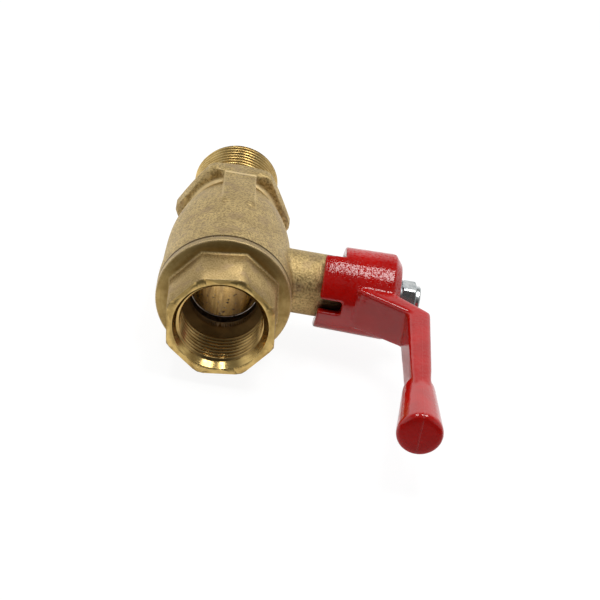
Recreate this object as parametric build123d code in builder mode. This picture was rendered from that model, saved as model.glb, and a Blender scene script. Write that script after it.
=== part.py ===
"""Ball valve with a pipe thread at each end and a quarter-turn lever.

Pipe axis along +Y from the mouth of the inlet, stem axis along +X, +Z up; millimetres.
"""
import os
from math import cos, radians

from build123d import *

os.makedirs("parts", exist_ok=True)

# Clearances
RUN_FIT = 0.05
LOOSE_FIT = 0.4
SEAT_GAP = 0.05
SEAM_GAP = 0.3
STOP_GAP = 1.3
EDGE_PICK = 0.01

# Pipe thread, one inch parallel
THREAD_MAJOR_R = 16.62
THREAD_MINOR_R = 15.15
THREAD_RELIEF_R = 14.9

# Waterway, ball and seats
BALL_R = 19.0
BALL_Y = 43.56
BALL_WALL = 6.5
BALL_EDGE = 0.5
BALL_GAP = 1.4
WATERWAY_STEP = 0.5
SEAT_WIDTH = 4.4
SEAT_BACK_STEP = 1.5
SEAT_FRONT_STEP = 8.4

# End cap
CAP_FLATS = 39.3
CAP_TURN = 7.9
CAP_FACE_LEDGE = 0.85
CAP_CHAMFER = 1.1
CAP_ROOT = 1.2
MOUTH_R = 17.6
MOUTH_CHAMFER = 0.95
INLET_THREAD_END = 19.0
INLET_RELIEF_R = 16.9
INLET_RELIEF_END = 21.6
FLANGE_LEDGE = 3.93
FLANGE_Y = 19.7
FLANGE_THICK = 3.2
FLANGE_EDGE = 0.5
SPIGOT_WALL = 3.3
SPIGOT_END = 33.2

# Body shell, collar and outlet; each curve point is a share of the way from neck to shell radius
SHELL_STRAIGHT_END = 26.0
RIB_FRONT_SHARE = 0.824
RIB_FRONT_Y = 54.0
RIB_MIDDLE_SHARE = 0.735
RIB_MIDDLE_Y = 62.0
SHELL_CURVE = (
    (0.906, 38.5),
    (0.871, 46.0),
    (RIB_FRONT_SHARE, RIB_FRONT_Y),
    (RIB_MIDDLE_SHARE, RIB_MIDDLE_Y),
    (0.553, 70.0),
    (0.265, 78.0),
)
NECK_R = 16.7
NECK_ROOT = 2.0
COLLAR_Y = 86.0
COLLAR_THICK = 6.4
COLLAR_FLATS = 40.0
COLLAR_CORNER_R = 22.5
COLLAR_CHAMFER = 1.6
COLLAR_FACE_R = 19.9
RIB_HALF_WIDTH = 6.2
RIB_SINK = 0.2
RIB_RISE = 0.1
RIB_LEVEL = 4.0
OUTLET_RELIEF_END = 96.0
OUTLET_END = 117.7
OUTLET_WALL = 1.9
OUTLET_CHAMFER = 1.3

# Stem boss
BOSS_R = 11.92
BOSS_TOP = 44.5
BOSS_ROOT = 2.0
BOSS_EDGE = 0.6
STOP_R = 14.6
STOP_X = 37.2
STOP_TOP = 42.4

# Stem and what seals it
STEM_R = 6.0
TANG_WIDTH = 6.0
TANG_LENGTH = 11.4
SLOT_DEPTH = 5.0
SLOT_SIDE_GAP = 0.1
COLLAR_STEM_R = 9.0
COLLAR_STEM_GAP = 0.6
COLLAR_STEM_THICK = 3.2
THRUST_THICK = 1.2
RING_STEP = 3.5
RING_PITCH = 4.0
RING_WIRE_R = 0.65
RING_GROOVE = 1.6
GLAND_R = 9.0
PACKING_THICK = 4.5
GLAND_NUT_FLATS = 17.0
GLAND_NUT_TOP = 50.0
STEM_FLATS = 8.0
STEM_SHOULDER = 61.0
STEM_THREAD_R = 3.95
STEM_SHORT = 0.5
STEM_END_CHAMFER = 0.6

# Lever
HUB_R = 15.8
HUB_CUP_R = 12.4
HUB_SKIRT_X = 35.4
HUB_RELIEF_X = 43.0
HUB_SKIRT_HALF_ANGLE = 78.3
HUB_RIM_X = 62.3
HUB_RIM_R = 16.4
HUB_FACE_X = 65.2
HUB_FACE_R = 12.6
HUB_SLOT_HALF = 2.55
HUB_SLOT_X = 44.0
ARM_Z = 0.8
ARM_INNER = ((48.8, 28.8), (67.7, 19.3), (68.6, -15.9), (69.3, -27.4))
ARM_OUTER = ((76.1, -27.4), (76.5, -15.9), (76.4, 21.5), (63.5, 30.4))
ARM_ROOT = ((63.5, 38.0), (48.8, 38.0))
ARM_BEND_R = 2.0
ARM_ROOT_Z = 8.8
ARM_TIP_Z = 6.0
ARM_EDGE = 1.6
GRIP_X = 72.7
GRIP_NECK_Y = -14.9
GRIP_NECK_R = 4.0
GRIP_SHOULDER_Y = -23.9
GRIP_SHOULDER_R = 6.0
GRIP_END_Y = -52.3
GRIP_END_R = 8.4
GRIP_RIM = 1.9

# Lock nut and washer, M8
WASHER_R = 7.2
WASHER_THICK = 1.0
WASHER_SPLIT = 0.8
NUT_FLATS = 13.0
NUT_CORNER_R = 7.3
NUT_HEX = 5.6
NUT_COLLAR_R = 5.8
NUT_HEIGHT = 7.4
NUT_EDGE = 0.7
LOCK_RING_R = 5.0
LOCK_RING_THICK = 1.4
LOCK_RING_LIP = 0.4

CAP_FACE_R = CAP_FLATS / 2 + CAP_FACE_LEDGE
CAP_CORNER_R = CAP_FLATS / 2 / cos(radians(22.5))
FLANGE_R = CAP_CORNER_R + FLANGE_LEDGE
SHELL_R = FLANGE_R
SPIGOT_R = SHELL_R - SPIGOT_WALL
NECK_END = COLLAR_Y - NECK_ROOT
BALL_BORE_R = BALL_R - BALL_WALL
CAVITY_R = BALL_R + BALL_GAP
WATERWAY_R = BALL_BORE_R + WATERWAY_STEP
SEAT_OUTER_R = WATERWAY_R + SEAT_WIDTH
SEAT_BACK = BALL_R - SEAT_BACK_STEP
SEAT_FRONT = BALL_R - SEAT_FRONT_STEP
SHELL_POINTS = [(NECK_R + share * (SHELL_R - NECK_R), y) for share, y in SHELL_CURVE]
RIB_FRONT_Z = NECK_R + RIB_FRONT_SHARE * (SHELL_R - NECK_R) - RIB_SINK
RIB_MIDDLE_Z = NECK_R + RIB_MIDDLE_SHARE * (SHELL_R - NECK_R) + RIB_RISE
RIB_END_Y = COLLAR_Y - RIB_LEVEL
OUTLET_BORE_R = THREAD_RELIEF_R - OUTLET_WALL
SLOT_FLOOR = BALL_R - SLOT_DEPTH
SLOT_WIDTH = TANG_WIDTH + 2 * SLOT_SIDE_GAP
TANG_END = SLOT_FLOOR + LOOSE_FIT
COLLAR_STEM_X = BALL_R + COLLAR_STEM_GAP
THRUST_X = COLLAR_STEM_X + COLLAR_STEM_THICK
THRUST_TOP = THRUST_X + THRUST_THICK
RING_LOWER_X = THRUST_TOP + RING_STEP
RING_UPPER_X = RING_LOWER_X + RING_PITCH
GLAND_FLOOR = RING_UPPER_X + RING_STEP
PACKING_TOP = GLAND_FLOOR + PACKING_THICK
STEM_AXIS = Axis((0, BALL_Y, 0), (1, 0, 0))
GRIP_AXIS = Axis((GRIP_X, 0, ARM_Z), (0, 1, 0))
BODY_FACE = FLANGE_Y + FLANGE_THICK + SEAM_GAP
NUT_X = HUB_FACE_X + WASHER_THICK
NUT_TOP = NUT_X + NUT_HEIGHT
STEM_END = NUT_TOP - STEM_SHORT


def stem_point(x, r):
    """Point of a stem profile in the XY plane, r out from the stem axis."""
    return (x, BALL_Y + r)


# End cap: octagon with turned corners, flange, threaded spigot and stepped bore
with BuildPart() as end_cap:
    with BuildSketch(Plane.XZ):
        RegularPolygon(CAP_FLATS / 2, 8, major_radius=False, rotation=CAP_TURN + 22.5)
    extrude(amount=-FLANGE_Y)
    with BuildSketch(Plane.XY):
        with BuildLine():
            Polyline(
                (0, 0),
                (CAP_FACE_R, 0),
                (CAP_FACE_R + CAP_CHAMFER, CAP_CHAMFER),
                (CAP_FACE_R + CAP_CHAMFER, FLANGE_Y),
                (0, FLANGE_Y),
                close=True,
            )
        make_face()
    revolve(axis=Axis.Y, mode=Mode.INTERSECT)
    with BuildSketch(Plane.XY):
        with BuildLine():
            Polyline(
                (0, FLANGE_Y),
                (FLANGE_R - FLANGE_EDGE, FLANGE_Y),
                (FLANGE_R, FLANGE_Y + FLANGE_EDGE),
                (FLANGE_R, FLANGE_Y + FLANGE_THICK),
                (SPIGOT_R, FLANGE_Y + FLANGE_THICK),
                (SPIGOT_R, SPIGOT_END),
                (0, SPIGOT_END),
                close=True,
            )
        make_face()
    revolve(axis=Axis.Y)
    roots = end_cap.edges().filter_by_position(Axis.Y, FLANGE_Y - EDGE_PICK, FLANGE_Y + EDGE_PICK)
    fillet(roots.filter_by(GeomType.LINE), radius=CAP_ROOT)
    with BuildSketch(Plane.XY):
        with BuildLine():
            Polyline(
                (0, 0),
                (MOUTH_R, 0),
                (THREAD_MINOR_R, MOUTH_CHAMFER),
                (THREAD_MINOR_R, INLET_THREAD_END),
                (INLET_RELIEF_R, INLET_THREAD_END),
                (INLET_RELIEF_R, INLET_RELIEF_END),
                (WATERWAY_R, INLET_RELIEF_END),
                (WATERWAY_R, BALL_Y - SEAT_BACK),
                (SEAT_OUTER_R + RUN_FIT, BALL_Y - SEAT_BACK),
                (SEAT_OUTER_R + RUN_FIT, SPIGOT_END),
                (0, SPIGOT_END),
                close=True,
            )
        make_face()
    revolve(axis=Axis.Y, mode=Mode.SUBTRACT)
end_cap.part.label = "end_cap"
export_step(end_cap.part, "parts/end_cap.step")

# Body: turned hexagon collar, domed shell with neck and outlet, flat ribs, stem boss, stop
with BuildPart() as body:
    with BuildSketch(Plane.XZ.offset(-COLLAR_Y)):
        RegularPolygon(COLLAR_FLATS / 2, 6, major_radius=False)
    extrude(amount=-COLLAR_THICK)
    with BuildSketch(Plane.XY):
        with BuildLine():
            Polyline(
                (0, COLLAR_Y),
                (COLLAR_CORNER_R - COLLAR_CHAMFER / 2, COLLAR_Y),
                (COLLAR_CORNER_R, COLLAR_Y + COLLAR_CHAMFER / 2),
                (COLLAR_CORNER_R, COLLAR_Y + COLLAR_THICK - COLLAR_CHAMFER),
                (COLLAR_FACE_R, COLLAR_Y + COLLAR_THICK),
                (0, COLLAR_Y + COLLAR_THICK),
                close=True,
            )
        make_face()
    revolve(axis=Axis.Y, mode=Mode.INTERSECT)
    with BuildSketch(Plane.XY):
        with BuildLine():
            Line((0, BODY_FACE), (SHELL_R, BODY_FACE))
            Line((SHELL_R, BODY_FACE), (SHELL_R, SHELL_STRAIGHT_END))
            Spline(
                (SHELL_R, SHELL_STRAIGHT_END),
                *SHELL_POINTS,
                (NECK_R, NECK_END),
                tangents=((0, 1), (-0.12, 1)),
            )
            RadiusArc((NECK_R, NECK_END), (NECK_R + NECK_ROOT, COLLAR_Y), NECK_ROOT)
            Polyline(
                (NECK_R + NECK_ROOT, COLLAR_Y),
                (NECK_R + NECK_ROOT, COLLAR_Y + COLLAR_THICK),
                (THREAD_RELIEF_R, COLLAR_Y + COLLAR_THICK),
                (THREAD_RELIEF_R, OUTLET_RELIEF_END - (THREAD_MAJOR_R - THREAD_RELIEF_R)),
                (THREAD_MAJOR_R, OUTLET_RELIEF_END),
                (THREAD_MAJOR_R, OUTLET_END - OUTLET_CHAMFER),
                (THREAD_MAJOR_R - OUTLET_CHAMFER, OUTLET_END),
                (0, OUTLET_END),
                (0, BODY_FACE),
            )
        make_face()
    revolve(axis=Axis.Y)
    with BuildSketch(Plane.YZ) as ribs:
        with BuildLine():
            Spline(
                (RIB_FRONT_Y, RIB_FRONT_Z),
                (RIB_MIDDLE_Y, RIB_MIDDLE_Z),
                (RIB_END_Y, COLLAR_FLATS / 2),
            )
            Polyline(
                (RIB_END_Y, COLLAR_FLATS / 2),
                (COLLAR_Y + COLLAR_THICK / 2, COLLAR_FLATS / 2),
                (COLLAR_Y + COLLAR_THICK / 2, 0),
                (RIB_FRONT_Y, 0),
                (RIB_FRONT_Y, RIB_FRONT_Z),
            )
        make_face()
        mirror(about=Plane.XZ)
    extrude(amount=RIB_HALF_WIDTH, both=True)
    with BuildSketch(Plane.YZ):
        with Locations((BALL_Y, 0)):
            Circle(BOSS_R)
    extrude(amount=BOSS_TOP)
    boss_root = body.edges().filter_by(GeomType.BSPLINE).filter_by_position(Axis.X, BOSS_R, SHELL_R)
    fillet(boss_root.filter_by(lambda edge: abs(edge.center().Z) > EDGE_PICK), radius=BOSS_ROOT)
    chamfer(body.edges().group_by(Axis.X)[-1], length=BOSS_EDGE)
    with BuildSketch(Plane.YZ.offset(STOP_X)):
        with BuildLine():
            stop_from = HUB_SKIRT_HALF_ANGLE - 180 + STOP_GAP
            stop_to = 90 - HUB_SKIRT_HALF_ANGLE - STOP_GAP
            outer = CenterArc((BALL_Y, 0), STOP_R, stop_from, stop_to - stop_from)
            Line((BALL_Y, 0), outer @ 0)
            Line(outer @ 1, (BALL_Y, 0))
        make_face()
    extrude(amount=STOP_TOP - STOP_X)
    with BuildSketch(Plane.XY):
        with BuildLine():
            Polyline(
                (0, BODY_FACE),
                (SPIGOT_R + RUN_FIT, BODY_FACE),
                (SPIGOT_R + RUN_FIT, SPIGOT_END + SEAM_GAP),
                (CAVITY_R, SPIGOT_END + SEAM_GAP),
                (CAVITY_R, BALL_Y + SEAT_FRONT),
                (SEAT_OUTER_R + RUN_FIT, BALL_Y + SEAT_FRONT),
                (SEAT_OUTER_R + RUN_FIT, BALL_Y + SEAT_BACK),
                (OUTLET_BORE_R, BALL_Y + SEAT_BACK),
                (OUTLET_BORE_R, OUTLET_END),
                (0, OUTLET_END),
                close=True,
            )
        make_face()
    revolve(axis=Axis.Y, mode=Mode.SUBTRACT)
    with BuildSketch(Plane.XY):
        with BuildLine():
            Polyline(
                stem_point(0, 0),
                stem_point(0, COLLAR_STEM_R + LOOSE_FIT),
                stem_point(THRUST_TOP, COLLAR_STEM_R + LOOSE_FIT),
                stem_point(THRUST_TOP, STEM_R + RUN_FIT),
                stem_point(GLAND_FLOOR, STEM_R + RUN_FIT),
                stem_point(GLAND_FLOOR, GLAND_R),
                stem_point(BOSS_TOP, GLAND_R),
                stem_point(BOSS_TOP, 0),
                close=True,
            )
        make_face()
    revolve(axis=STEM_AXIS, mode=Mode.SUBTRACT)
body.part.label = "body"
export_step(body.part, "parts/body.step")

# Ball: sphere with the waterway through it and the slot for the stem's tang across its top
with BuildPart() as ball:
    with BuildSketch(Plane.XY):
        with BuildLine():
            CenterArc((0, BALL_Y), BALL_R, -90, 180)
            Line((0, BALL_Y + BALL_R), (0, BALL_Y - BALL_R))
        make_face()
    revolve(axis=Axis.Y)
    with BuildSketch(Plane.XZ.offset(-BALL_Y)):
        Circle(BALL_BORE_R)
    extrude(amount=BALL_R, both=True, mode=Mode.SUBTRACT)
    fillet(ball.edges().filter_by(GeomType.CIRCLE), radius=BALL_EDGE)
    with BuildSketch(Plane.YZ.offset(SLOT_FLOOR)):
        with Locations((BALL_Y, 0)):
            Rectangle(SLOT_WIDTH, 2 * BALL_R)
    extrude(amount=BALL_R, mode=Mode.SUBTRACT)
ball.part.label = "ball"
export_step(ball.part, "parts/ball.step")

# Inlet seat: ring in the end cap with a hollow spherical face to the ball
with BuildPart() as seat_inlet:
    with BuildSketch(Plane.XY):
        with BuildLine():
            Polyline(
                (WATERWAY_R, BALL_Y - SEAT_BACK),
                (SEAT_OUTER_R, BALL_Y - SEAT_BACK),
                (SEAT_OUTER_R, BALL_Y - SEAT_FRONT),
                (WATERWAY_R, BALL_Y - SEAT_FRONT),
                close=True,
            )
        make_face()
    revolve(axis=Axis.Y)
    with Locations((0, BALL_Y, 0)):
        Sphere(BALL_R + SEAT_GAP, mode=Mode.SUBTRACT)
seat_inlet.part.label = "seat_inlet"
export_step(seat_inlet.part, "parts/seat_inlet.step")

# Outlet seat: the same ring the other way round in the body's pocket
with BuildPart() as seat_outlet:
    with BuildSketch(Plane.XY):
        with BuildLine():
            Polyline(
                (WATERWAY_R, BALL_Y + SEAT_FRONT),
                (SEAT_OUTER_R, BALL_Y + SEAT_FRONT),
                (SEAT_OUTER_R, BALL_Y + SEAT_BACK),
                (WATERWAY_R, BALL_Y + SEAT_BACK),
                close=True,
            )
        make_face()
    revolve(axis=Axis.Y)
    with Locations((0, BALL_Y, 0)):
        Sphere(BALL_R + SEAT_GAP, mode=Mode.SUBTRACT)
seat_outlet.part.label = "seat_outlet"
export_step(seat_outlet.part, "parts/seat_outlet.step")

# Stem: collar under the shoulder, grooves for two rings, flats for the lever, threaded end, tang
groove_r = STEM_R - 2 * RING_WIRE_R
with BuildPart() as stem:
    with BuildSketch(Plane.XY):
        with BuildLine():
            Polyline(
                stem_point(COLLAR_STEM_X, 0),
                stem_point(COLLAR_STEM_X, COLLAR_STEM_R),
                stem_point(THRUST_X, COLLAR_STEM_R),
                stem_point(THRUST_X, STEM_R),
                stem_point(RING_LOWER_X - RING_GROOVE / 2, STEM_R),
                stem_point(RING_LOWER_X - RING_GROOVE / 2, groove_r),
                stem_point(RING_LOWER_X + RING_GROOVE / 2, groove_r),
                stem_point(RING_LOWER_X + RING_GROOVE / 2, STEM_R),
                stem_point(RING_UPPER_X - RING_GROOVE / 2, STEM_R),
                stem_point(RING_UPPER_X - RING_GROOVE / 2, groove_r),
                stem_point(RING_UPPER_X + RING_GROOVE / 2, groove_r),
                stem_point(RING_UPPER_X + RING_GROOVE / 2, STEM_R),
                stem_point(HUB_FACE_X, STEM_R),
                stem_point(HUB_FACE_X, 0),
                close=True,
            )
        make_face()
    revolve(axis=STEM_AXIS)
    with BuildSketch(Plane.YZ.offset(STEM_SHOULDER)):
        with Locations((BALL_Y, STEM_R + STEM_FLATS / 2), (BALL_Y, -STEM_R - STEM_FLATS / 2)):
            Rectangle(2 * STEM_R, 2 * STEM_R)
    extrude(amount=HUB_FACE_X - STEM_SHOULDER, mode=Mode.SUBTRACT)
    with BuildSketch(Plane.YZ.offset(HUB_FACE_X)):
        with Locations((BALL_Y, 0)):
            Circle(STEM_THREAD_R)
    extrude(amount=STEM_END - HUB_FACE_X)
    chamfer(stem.edges().group_by(Axis.X)[-1], length=STEM_END_CHAMFER)
    with BuildSketch(Plane.YZ.offset(TANG_END)):
        with Locations((BALL_Y, 0)):
            Rectangle(TANG_WIDTH, TANG_LENGTH)
    extrude(amount=COLLAR_STEM_X - TANG_END)
stem.part.label = "stem"
export_step(stem.part, "parts/stem.step")

# Thrust washer: between the stem's collar and the body's shoulder
with BuildPart() as thrust_washer:
    with BuildSketch(Plane.YZ.offset(THRUST_X + RUN_FIT)):
        with Locations((BALL_Y, 0)):
            Circle(COLLAR_STEM_R)
            Circle(STEM_R + RUN_FIT, mode=Mode.SUBTRACT)
    extrude(amount=THRUST_TOP - THRUST_X - 2 * RUN_FIT)
thrust_washer.part.label = "thrust_washer"
export_step(thrust_washer.part, "parts/thrust_washer.step")

# Stem rings: two round-section rings lying in the stem's grooves
with BuildPart() as stem_ring_lower:
    with BuildSketch(Plane.XY):
        with Locations(stem_point(RING_LOWER_X, STEM_R - RING_WIRE_R)):
            Circle(RING_WIRE_R)
    revolve(axis=STEM_AXIS)
stem_ring_lower.part.label = "stem_ring_lower"
export_step(stem_ring_lower.part, "parts/stem_ring_lower.step")

with BuildPart() as stem_ring_upper:
    with BuildSketch(Plane.XY):
        with Locations(stem_point(RING_UPPER_X, STEM_R - RING_WIRE_R)):
            Circle(RING_WIRE_R)
    revolve(axis=STEM_AXIS)
stem_ring_upper.part.label = "stem_ring_upper"
export_step(stem_ring_upper.part, "parts/stem_ring_upper.step")

# Packing ring: fills the gland chamber round the stem
with BuildPart() as packing_ring:
    with BuildSketch(Plane.YZ.offset(GLAND_FLOOR)):
        with Locations((BALL_Y, 0)):
            Circle(GLAND_R - RUN_FIT)
            Circle(STEM_R + RUN_FIT, mode=Mode.SUBTRACT)
    extrude(amount=PACKING_TOP - GLAND_FLOOR)
packing_ring.part.label = "packing_ring"
export_step(packing_ring.part, "parts/packing_ring.step")

# Gland nut: threaded shank on the packing, hexagon over the boss
with BuildPart() as gland_nut:
    with BuildSketch(Plane.YZ.offset(PACKING_TOP)):
        with Locations((BALL_Y, 0)):
            Circle(GLAND_R - RUN_FIT)
    extrude(amount=BOSS_TOP - PACKING_TOP)
    with BuildSketch(Plane.YZ.offset(BOSS_TOP)):
        with Locations((BALL_Y, 0)):
            RegularPolygon(GLAND_NUT_FLATS / 2, 6, major_radius=False)
    extrude(amount=GLAND_NUT_TOP - BOSS_TOP)
    with BuildSketch(Plane.YZ.offset(PACKING_TOP)):
        with Locations((BALL_Y, 0)):
            Circle(STEM_R + RUN_FIT)
    extrude(amount=GLAND_NUT_TOP - PACKING_TOP, mode=Mode.SUBTRACT)
gland_nut.part.label = "gland_nut"
export_step(gland_nut.part, "parts/gland_nut.step")

# Lever: offset arm of tapering height, hub cup with skirts, round tapered grip
with BuildPart() as lever:
    with BuildSketch(Plane.XY.offset(ARM_Z)):
        with BuildLine():
            FilletPolyline(
                *ARM_INNER,
                *ARM_OUTER,
                *ARM_ROOT,
                radius=(ARM_BEND_R, ARM_BEND_R, ARM_BEND_R, 0, 0, ARM_BEND_R, ARM_BEND_R, 0, 0, 0),
                close=True,
            )
        make_face()
    extrude(amount=ARM_ROOT_Z, both=True)
    with BuildSketch(Plane.YZ):
        with BuildLine():
            Polyline(
                (ARM_ROOT[0][1], ARM_Z + ARM_ROOT_Z),
                (ARM_ROOT[0][1], ARM_Z - ARM_ROOT_Z),
                (ARM_INNER[-1][1], ARM_Z - ARM_TIP_Z),
                (ARM_INNER[-1][1], ARM_Z + ARM_TIP_Z),
                close=True,
            )
        make_face()
    extrude(amount=GRIP_X + HUB_R, mode=Mode.INTERSECT)
    arm_faces = lever.faces().sort_by(Axis.Z)
    fillet(arm_faces[0].edges() + arm_faces[-1].edges(), radius=ARM_EDGE)
    with BuildSketch(Plane.XY):
        with BuildLine():
            Polyline(
                stem_point(HUB_SKIRT_X, 0),
                stem_point(HUB_SKIRT_X, HUB_R),
                stem_point(HUB_RIM_X, HUB_RIM_R),
                stem_point(HUB_FACE_X, HUB_FACE_R),
                stem_point(HUB_FACE_X, 0),
                close=True,
            )
        make_face()
    revolve(axis=STEM_AXIS)
    with BuildSketch(Plane.XY):
        with BuildLine():
            flat = Line(ARM_INNER[0], ARM_INNER[1], mode=Mode.PRIVATE)
            Polyline(flat @ 0, flat @ 0.5, (ARM_INNER[0][0], (flat @ 0.5).Y), close=True)
        make_face()
    extrude(amount=HUB_R, both=True, mode=Mode.SUBTRACT)
    with BuildSketch(Plane.YZ.offset(HUB_SKIRT_X)):
        with Locations((BALL_Y, 0)):
            Circle(HUB_CUP_R)
    extrude(amount=STEM_SHOULDER - HUB_SKIRT_X, mode=Mode.SUBTRACT)
    with BuildSketch(Plane.YZ.offset(HUB_SKIRT_X)):
        with BuildLine():
            half_relief = 180 - HUB_SKIRT_HALF_ANGLE
            relief = CenterArc((BALL_Y, 0), 2 * HUB_R, -half_relief, 2 * half_relief)
            Line((BALL_Y, 0), relief @ 0)
            Line(relief @ 1, (BALL_Y, 0))
        make_face()
    extrude(amount=HUB_RELIEF_X - HUB_SKIRT_X, mode=Mode.SUBTRACT)
    with BuildSketch(Plane.YZ.offset(HUB_SKIRT_X)):
        with Locations((BALL_Y - HUB_R, 0)):
            Rectangle(HUB_R, 2 * HUB_SLOT_HALF)
    extrude(amount=HUB_SLOT_X - HUB_SKIRT_X, mode=Mode.SUBTRACT)
    with BuildSketch(Plane.YZ.offset(STEM_SHOULDER)):
        with Locations((BALL_Y, 0)):
            Circle(STEM_R + RUN_FIT)
            Rectangle(4 * STEM_R, STEM_FLATS + 2 * RUN_FIT, mode=Mode.INTERSECT)
    extrude(amount=HUB_FACE_X - STEM_SHOULDER, mode=Mode.SUBTRACT)
    with BuildSketch(Plane.XY.offset(ARM_Z)):
        with BuildLine():
            Line((GRIP_X, GRIP_NECK_Y), (GRIP_X + GRIP_NECK_R, GRIP_NECK_Y))
            Spline(
                (GRIP_X + GRIP_NECK_R, GRIP_NECK_Y),
                (GRIP_X + GRIP_SHOULDER_R, GRIP_SHOULDER_Y),
                tangents=((0.0, -1.0), (0.1, -1.0)),
            )
            Polyline(
                (GRIP_X + GRIP_SHOULDER_R, GRIP_SHOULDER_Y),
                (GRIP_X + GRIP_END_R, GRIP_END_Y + GRIP_RIM),
            )
            RadiusArc(
                (GRIP_X + GRIP_END_R, GRIP_END_Y + GRIP_RIM),
                (GRIP_X + GRIP_END_R - GRIP_RIM, GRIP_END_Y),
                GRIP_RIM,
            )
            Polyline(
                (GRIP_X + GRIP_END_R - GRIP_RIM, GRIP_END_Y),
                (GRIP_X, GRIP_END_Y),
                (GRIP_X, GRIP_NECK_Y),
            )
        make_face()
    revolve(axis=GRIP_AXIS)
lever.part.label = "lever"
export_step(lever.part, "parts/lever.step")

# Spring washer: split ring under the lock nut
with BuildPart() as spring_washer:
    with BuildSketch(Plane.YZ.offset(HUB_FACE_X)):
        with Locations((BALL_Y, 0)):
            Circle(WASHER_R)
            Circle(STEM_THREAD_R + RUN_FIT, mode=Mode.SUBTRACT)
        with Locations((BALL_Y, WASHER_R)):
            Rectangle(WASHER_SPLIT, 2 * STEM_THREAD_R, mode=Mode.SUBTRACT)
    extrude(amount=WASHER_THICK)
spring_washer.part.label = "spring_washer"
export_step(spring_washer.part, "parts/spring_washer.step")

# Lock nut: hexagon with turned corners and a round locking collar that holds the insert
with BuildPart() as lock_nut:
    with BuildSketch(Plane.YZ.offset(NUT_X)):
        with Locations((BALL_Y, 0)):
            RegularPolygon(NUT_FLATS / 2, 6, major_radius=False)
    extrude(amount=NUT_HEX)
    with BuildSketch(Plane.XY):
        with BuildLine():
            Polyline(
                stem_point(NUT_X, 0),
                stem_point(NUT_X, NUT_CORNER_R - NUT_EDGE),
                stem_point(NUT_X + NUT_EDGE, NUT_CORNER_R),
                stem_point(NUT_X + NUT_HEX - NUT_EDGE, NUT_CORNER_R),
                stem_point(NUT_X + NUT_HEX, NUT_COLLAR_R + NUT_EDGE / 2),
                stem_point(NUT_X + NUT_HEX, 0),
                close=True,
            )
        make_face()
    revolve(axis=STEM_AXIS, mode=Mode.INTERSECT)
    with BuildSketch(Plane.YZ.offset(NUT_X + NUT_HEX)):
        with Locations((BALL_Y, 0)):
            Circle(NUT_COLLAR_R)
    extrude(amount=NUT_HEIGHT - NUT_HEX)
    fillet(lock_nut.edges().group_by(Axis.X)[-1], radius=NUT_EDGE)
    with BuildSketch(Plane.YZ.offset(NUT_X)):
        with Locations((BALL_Y, 0)):
            Circle(STEM_THREAD_R + RUN_FIT)
    extrude(amount=NUT_HEIGHT, mode=Mode.SUBTRACT)
    with BuildSketch(Plane.YZ.offset(NUT_TOP - LOCK_RING_LIP)):
        with Locations((BALL_Y, 0)):
            Circle(LOCK_RING_R)
    extrude(amount=-LOCK_RING_THICK, mode=Mode.SUBTRACT)
lock_nut.part.label = "lock_nut"
export_step(lock_nut.part, "parts/lock_nut.step")

# Lock ring: plastic insert in the nut's collar
with BuildPart() as lock_ring:
    with BuildSketch(Plane.YZ.offset(NUT_TOP - LOCK_RING_LIP)):
        with Locations((BALL_Y, 0)):
            Circle(LOCK_RING_R)
            Circle(STEM_THREAD_R + RUN_FIT, mode=Mode.SUBTRACT)
    extrude(amount=-LOCK_RING_THICK)
lock_ring.part.label = "lock_ring"
export_step(lock_ring.part, "parts/lock_ring.step")
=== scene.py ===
"""Looks of a quarter-turn ball valve: cut threads, forged and turned brass, red lever, studio."""

import logging
import math
from collections.abc import Callable
from dataclasses import dataclass, field, replace
from enum import Enum, IntEnum
from typing import Any

import bmesh
import bpy
import numpy as np
from mathutils import Matrix, Vector


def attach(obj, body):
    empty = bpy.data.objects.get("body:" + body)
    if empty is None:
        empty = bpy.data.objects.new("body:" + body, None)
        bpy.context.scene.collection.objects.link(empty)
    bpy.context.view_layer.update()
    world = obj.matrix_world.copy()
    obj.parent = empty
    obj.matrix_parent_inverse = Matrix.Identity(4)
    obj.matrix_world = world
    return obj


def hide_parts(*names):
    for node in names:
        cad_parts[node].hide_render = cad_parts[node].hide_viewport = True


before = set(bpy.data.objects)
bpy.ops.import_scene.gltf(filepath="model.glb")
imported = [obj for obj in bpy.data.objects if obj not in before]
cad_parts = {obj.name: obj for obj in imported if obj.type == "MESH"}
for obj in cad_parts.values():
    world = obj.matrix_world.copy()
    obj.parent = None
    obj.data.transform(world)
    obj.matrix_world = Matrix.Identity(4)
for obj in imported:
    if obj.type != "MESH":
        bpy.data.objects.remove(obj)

LOG = logging.getLogger("valve")
MM = 0.001
Tone = tuple[float, float, float]
Span = tuple[float, float]
Socket = bpy.types.NodeSocket
WHITE: Tone = (1.0, 1.0, 1.0)
# Most of a noise lies in this range.
NOISE_SPAN: Span = (0.3, 0.7)
# Cosine between the rounded and the true normal, from an open face to a full edge.
EDGE_SPAN: Span = (0.995, 0.93)
EDGE_SAMPLES = 6


def grey(level: float) -> Tone:
    """A colour without hue."""
    return (level, level, level)


class Body(Enum):
    """The two rigid bodies of the valve."""

    FIXED = "valve_body"
    TURNING = "lever_and_ball"


class Slot(Enum):
    """The record's material slots."""

    FORGED = "cast_brass"
    TURNED = "turned_brass"
    STEM = "stem_brass"
    CHROME = "chrome"
    SEAT = "seat_plastic"
    RUBBER = "seal_rubber"
    PAINT = "red_paint"
    ZINC = "zinc_steel"
    LOCK = "lock_plastic"


class CapArea(IntEnum):
    """Areas of the end cap, in the order of its finishes."""

    MILLED = 0
    CONE = 1
    BORE = 2
    MOUTH = 3
    FLANGE = 4


class ShellArea(IntEnum):
    """Areas of the body, in the order of its finishes."""

    FORGED = 0
    CUT = 1


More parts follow.
